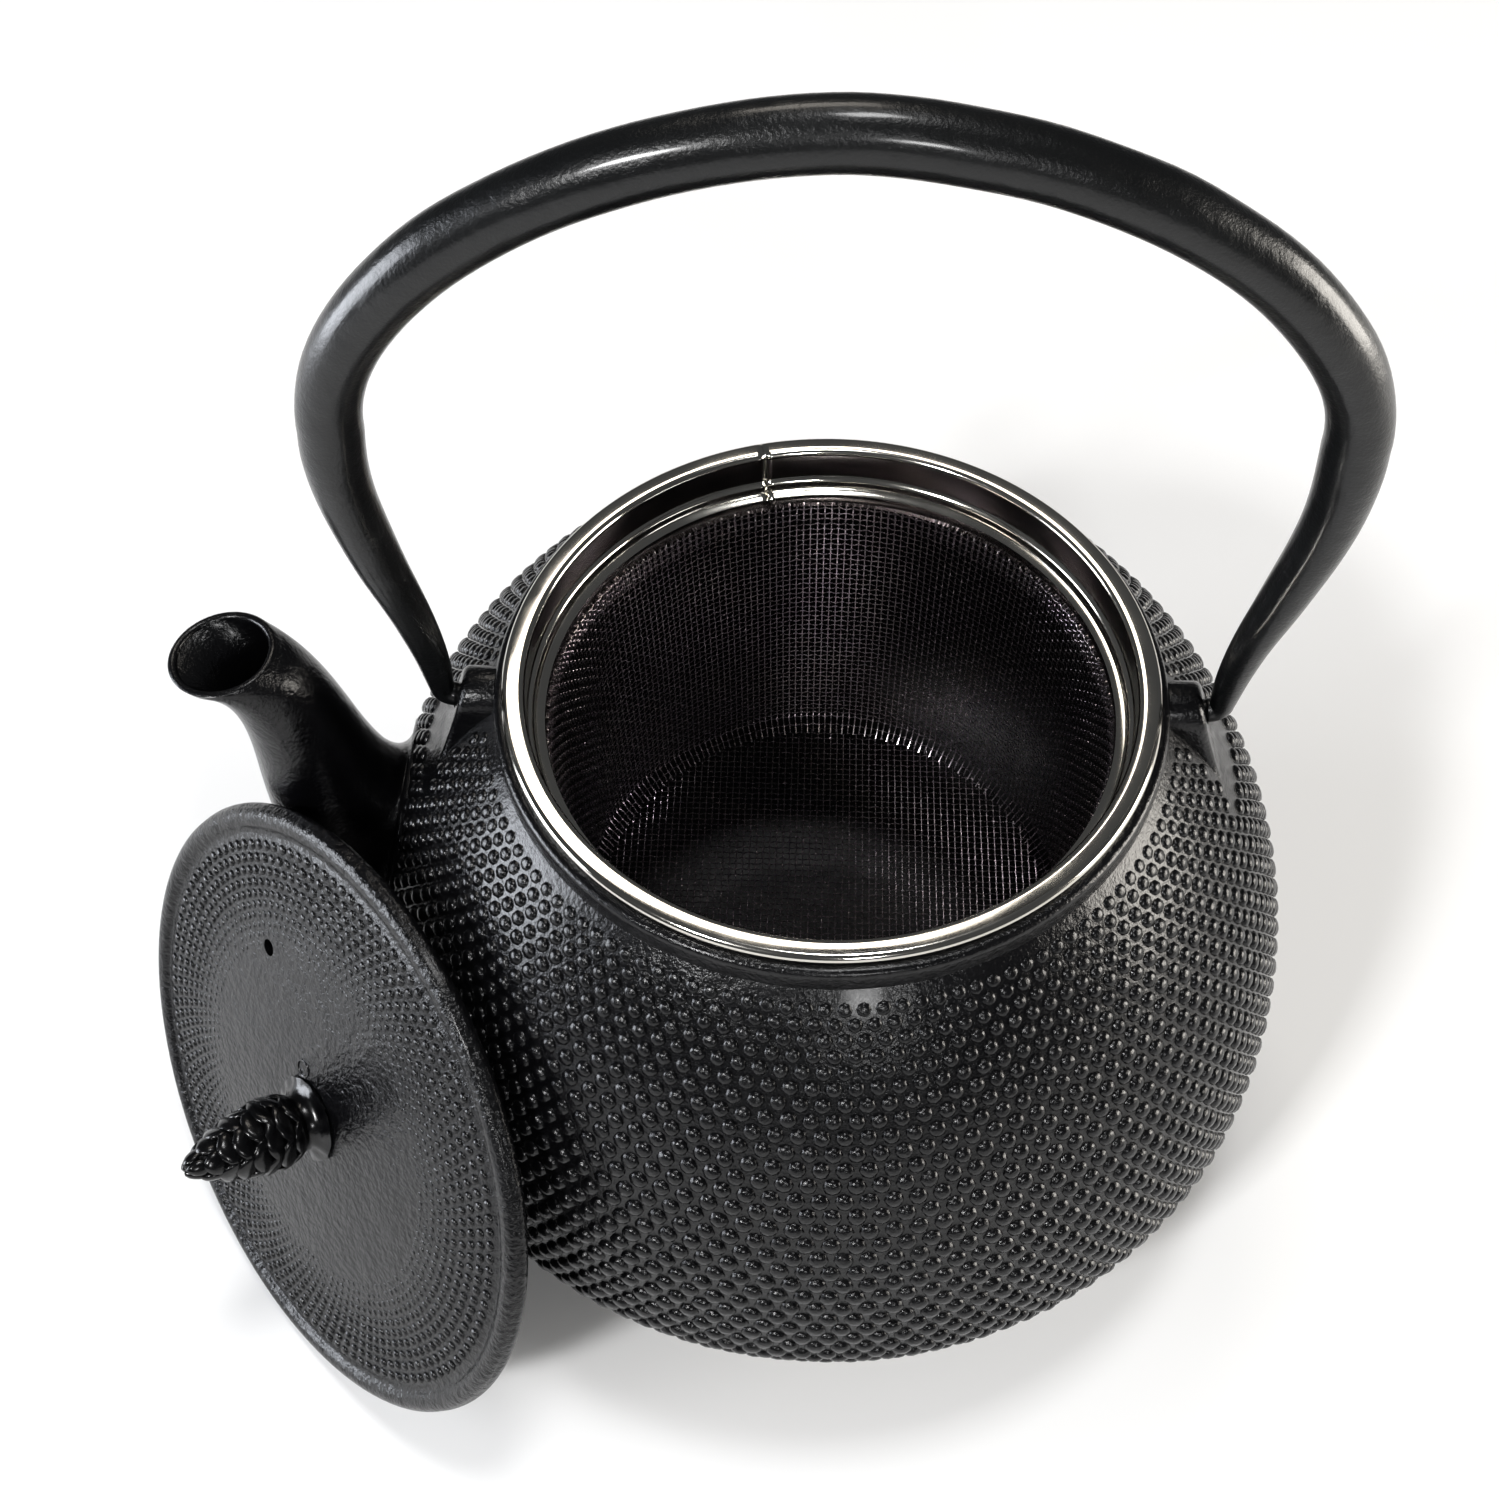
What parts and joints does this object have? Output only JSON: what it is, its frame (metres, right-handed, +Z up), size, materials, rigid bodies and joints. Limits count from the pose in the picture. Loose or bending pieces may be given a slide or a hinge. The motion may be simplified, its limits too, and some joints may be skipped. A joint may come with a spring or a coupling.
{
  "type": "cast iron teapot",
  "caption": "Round hobnail cast iron teapot with a bail handle, short S-shaped spout, mesh infuser basket, and a lid with a cone-shaped knob leaning beside it.",
  "frame": {"origin": "centre of the foot ring's face, on the table, under the pot's axis", "axes": "+Z up along the pot's axis, -X towards the spout, the handle's pivots lie along X"},
  "size_m": [0.2083, 0.1724, 0.2259],
  "materials": {
    "enamelled_iron": "semi-gloss black lacquer over fine cast texture",
    "handle_iron": "satin black lacquer",
    "knob_iron": "gloss black lacquer",
    "polished_steel": "polished stainless steel",
    "woven_steel": "plain woven stainless wire"
  },
  "bodies": {
    "pot": {"pot_body": "enamelled_iron", "pot_spout": "enamelled_iron"},
    "handle": {"handle": "handle_iron"},
    "infuser": {"infuser_rim": "polished_steel", "infuser_clamp_ring": "polished_steel", "infuser_mesh_wall": "woven_steel", "infuser_mesh_bottom": "woven_steel"},
    "lid": {"lid": "enamelled_iron", "knob_washer": "polished_steel"},
    "knob": {"lid_knob": "knob_iron"}
  },
  "joints": [
    {"name": "handle_swing", "type": "hinge", "parent": "pot", "child": "handle", "pos_m": [0, 0, 0.1115], "axis": [1, 0, 0], "range_deg": [-90, 90]},
    {"name": "infuser_lift", "type": "slide", "parent": "pot", "child": "infuser", "axis": [0, 0, 1], "range_m": [0, 0.073]},
    {"name": "lid_draw", "type": "slide", "parent": "pot", "child": "lid", "axis": [-0.6936, -0.6072, 0.3875], "range_m": [0, 0.12]},
    {"name": "knob_turn", "type": "hinge", "parent": "lid", "child": "knob", "pos_m": [-0.08552, -0.04563, 0.05117], "axis": [-0.6936, -0.6072, 0.3875], "continuous": true}
  ]
}
